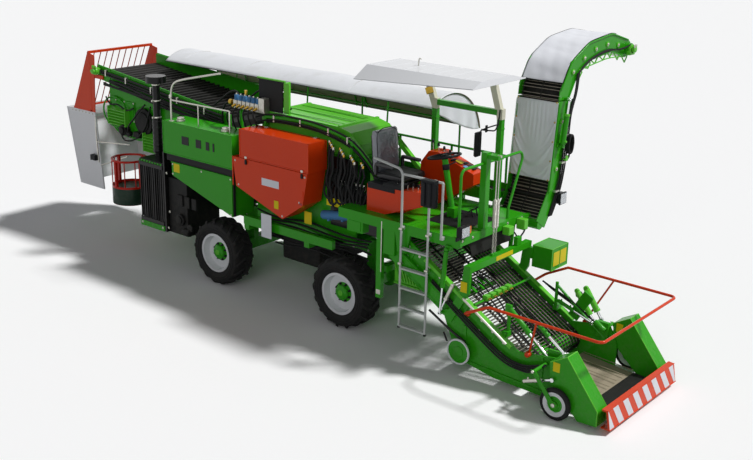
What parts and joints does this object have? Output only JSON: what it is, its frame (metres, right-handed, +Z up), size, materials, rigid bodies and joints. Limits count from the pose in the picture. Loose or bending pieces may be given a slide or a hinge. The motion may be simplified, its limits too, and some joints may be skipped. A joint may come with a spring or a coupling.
{
  "type": "self-propelled tomato harvester",
  "caption": "Self-propelled field machine that lifts tomato vines with a front rod belt, shakes the fruit off, sorts it under a long cover and discharges it sideways.",
  "frame": {"origin": "ground point under the middle of the overall box", "axes": "+X forward along the travel, +Y to the machine's left, +Z up"},
  "size_m": [10.54, 3.88, 3.801],
  "materials": {
    "green_paint": "gloss",
    "orange_paint": "gloss",
    "white_paint": "satin",
    "beige_panel": "satin",
    "dark_engine": "matt",
    "black_paint": "satin",
    "steel": "satin",
    "worn_steel": "worn",
    "chrome": "polished",
    "tyre": "matt",
    "rubber_belt": "matt",
    "seat_vinyl": "satin",
    "black_plastic": "satin",
    "lamp_shell": "gloss",
    "grey_tarp": "satin",
    "white_tarp": "satin"
  },
  "bodies": {
    "chassis": {"front_axle": "green_paint", "rear_axle": "green_paint", "main_frame": "green_paint", "engine": "dark_engine", "radiator": "black_paint", "fuel_tank": "green_paint", "side_panel": "green_paint", "shaker_guard": "orange_paint", "shaker_housing": "green_paint", "shaker_hood": "green_paint", "rear_conveyor": "green_paint", "vine_belt": "rubber_belt", "fan_housing": "green_paint", "rear_guard_cage": "orange_paint", "rear_apron": "white_paint", "rear_basket": "orange_paint", "exhaust_stack": "black_paint", "platform_deck": "green_paint", "platform_frame": "green_paint", "counter_springs": "chrome", "platform_rail": "green_paint", "ladder": "white_paint", "elevator_frame": "green_paint", "elevator_tarp": "grey_tarp", "driver_seat": "seat_vinyl", "control_consoles": "orange_paint", "roof_frame": "green_paint", "driver_roof": "white_paint", "lamps": "lamp_shell", "sorting_table": "green_paint", "sorter_platform": "green_paint", "sorter_canopy": "white_tarp", "canopy_frame": "green_paint"},
    "front_right_wheel": {"front_right_tyre": "tyre", "front_right_rim": "white_paint"},
    "front_left_wheel": {"front_left_tyre": "tyre", "front_left_rim": "white_paint"},
    "rear_right_wheel": {"rear_right_tyre": "tyre", "rear_right_rim": "white_paint"},
    "rear_left_wheel": {"rear_left_tyre": "tyre", "rear_left_rim": "white_paint"},
    "right_steering_knuckle": {"right_knuckle": "green_paint"},
    "left_steering_knuckle": {"left_knuckle": "green_paint"},
    "steering_wheel": {"steering_wheel": "black_plastic"},
    "guard_lid": {"guard_lid": "orange_paint"},
    "gooseneck": {"gooseneck_frame": "green_paint", "gooseneck_tarp": "white_tarp"},
    "neck_ram_barrel": {"neck_ram_barrel": "green_paint"},
    "neck_ram_rod": {"neck_ram_rod": "chrome"},
    "lift_ram_barrels": {"lift_ram_barrels": "green_paint"},
    "lift_ram_rods": {"lift_ram_rods": "chrome"},
    "head": {"head_frame": "green_paint", "head_belt": "worn_steel", "head_floor": "beige_panel", "crop_dividers": "green_paint", "striped_bumper": "orange_paint", "safety_bar": "orange_paint", "head_portal": "green_paint"},
    "right_gauge_wheel": {"right_gauge_wheel": "rubber_belt"},
    "left_gauge_wheel": {"left_gauge_wheel": "rubber_belt"}
  },
  "joints": [
    {"name": "front_right_wheel_spin", "type": "hinge", "parent": "chassis", "child": "front_right_wheel", "pos_m": [1.19, -1.45, 0.48], "axis": [0, 1, 0], "continuous": true},
    {"name": "front_left_wheel_spin", "type": "hinge", "parent": "chassis", "child": "front_left_wheel", "pos_m": [1.19, 0.45, 0.48], "axis": [0, 1, 0], "continuous": true},
    {"name": "rear_right_wheel_spin", "type": "hinge", "parent": "right_steering_knuckle", "child": "rear_right_wheel", "pos_m": [-1.17, -1.45, 0.48], "axis": [0, 1, 0], "continuous": true},
    {"name": "rear_left_wheel_spin", "type": "hinge", "parent": "left_steering_knuckle", "child": "rear_left_wheel", "pos_m": [-1.17, 0.45, 0.48], "axis": [0, 1, 0], "continuous": true},
    {"name": "right_wheel_steer", "type": "hinge", "parent": "chassis", "child": "right_steering_knuckle", "pos_m": [-1.17, -1.2, 0.48], "axis": [0, 0, 1], "range_deg": [-22, 22]},
    {"name": "left_wheel_steer", "type": "hinge", "parent": "chassis", "child": "left_steering_knuckle", "pos_m": [-1.17, 0.2, 0.48], "axis": [0, 0, 1], "range_deg": [-22, 22]},
    {"name": "steering_wheel_turn", "type": "hinge", "parent": "chassis", "child": "steering_wheel", "pos_m": [2.405, -1.05, 2.4], "axis": [-0.2162, 0, 0.9764], "range_deg": [-396, 396]},
    {"name": "guard_lid_swing", "type": "hinge", "parent": "chassis", "child": "guard_lid", "pos_m": [0.03, -1.288, 2.388], "axis": [-1, 0, 0], "range_deg": [0, 75]},
    {"name": "head_lift", "type": "hinge", "parent": "chassis", "child": "head", "pos_m": [2.28, -1.02, 1.4], "axis": [0, -1, 0], "range_deg": [0, 8]},
    {"name": "gooseneck_fold", "type": "hinge", "parent": "chassis", "child": "gooseneck", "pos_m": [2.94, 0.4252, 3.0342], "axis": [-1, 0, 0], "range_deg": [0, 75]},
    {"name": "lift_ram_swing", "type": "hinge", "parent": "chassis", "child": "lift_ram_barrels", "pos_m": [2.97, -1.02, 1.545], "axis": [0, -1, 0], "range_deg": [0, 6.48]},
    {"name": "lift_ram_stroke", "type": "slide", "parent": "lift_ram_barrels", "child": "lift_ram_rods", "axis": [-0.0739, 0, -0.9973], "range_m": [-0.0978, 0]},
    {"name": "neck_ram_swing", "type": "hinge", "parent": "chassis", "child": "neck_ram_barrel", "pos_m": [3.3, 0.2, 2.5], "axis": [-1, 0, 0], "range_deg": [0, 9.18]},
    {"name": "neck_ram_stroke", "type": "slide", "parent": "neck_ram_barrel", "child": "neck_ram_rod", "axis": [0, 0.1462, 0.9892], "range_m": [0, 0.14769]},
    {"name": "right_gauge_wheel_spin", "type": "hinge", "parent": "head", "child": "right_gauge_wheel", "pos_m": [4.63, -1.895, 0.19], "axis": [0, 1, 0], "continuous": true},
    {"name": "left_gauge_wheel_spin", "type": "hinge", "parent": "head", "child": "left_gauge_wheel", "pos_m": [4.63, -0.145, 0.19], "axis": [0, 1, 0], "continuous": true}
  ],
  "couplings": [
    {"joint": "left_wheel_steer", "follows": "right_wheel_steer", "ratio": 1},
    {"joint": "steering_wheel_turn", "follows": "right_wheel_steer", "ratio": 18},
    {"joint": "lift_ram_swing", "follows": "head_lift", "ratio": 0.79375},
    {"joint": "lift_ram_stroke", "follows": "head_lift", "m_per_rad": -0.68671},
    {"joint": "neck_ram_swing", "follows": "gooseneck_fold", "ratio": 0.12},
    {"joint": "neck_ram_stroke", "follows": "gooseneck_fold", "m_per_rad": 0.11061}
  ]
}
